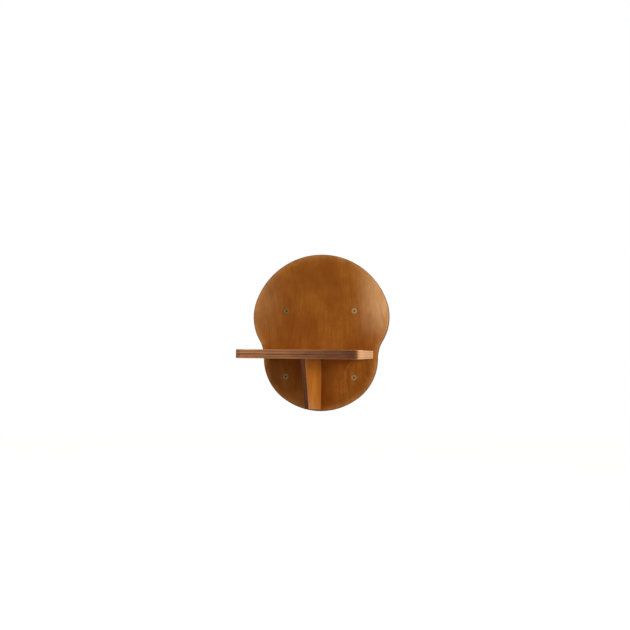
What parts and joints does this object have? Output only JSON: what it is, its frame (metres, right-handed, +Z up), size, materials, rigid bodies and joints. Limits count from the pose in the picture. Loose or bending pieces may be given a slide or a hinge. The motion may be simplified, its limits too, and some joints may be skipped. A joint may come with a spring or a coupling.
{
  "type": "cat step",
  "caption": "Wall-mounted plywood cat step: a lobed back panel, a shelf with rounded front corners and a thin gusset under it.",
  "frame": {"origin": "on the wall plane, the back panel's rear face, at the centre of the four wall fixings", "axes": "+Y into the wall, -Y out towards the shelf's front, +X to the right seen from the front, +Z up"},
  "size_m": [0.22, 0.231, 0.25],
  "materials": {
    "panel_ply": "satin stain",
    "shelf_ply": "satin stain",
    "gusset_ply": "satin stain",
    "zinc_steel": "bright zinc",
    "brass_zinc": "yellow zinc",
    "nylon": "moulded"
  },
  "bodies": {
    "root": {"back_panel": "panel_ply", "shelf": "shelf_ply", "gusset": "gusset_ply", "shelf_screws": "zinc_steel", "wall_screws": "brass_zinc", "wall_plugs": "nylon"}
  },
  "joints": []
}
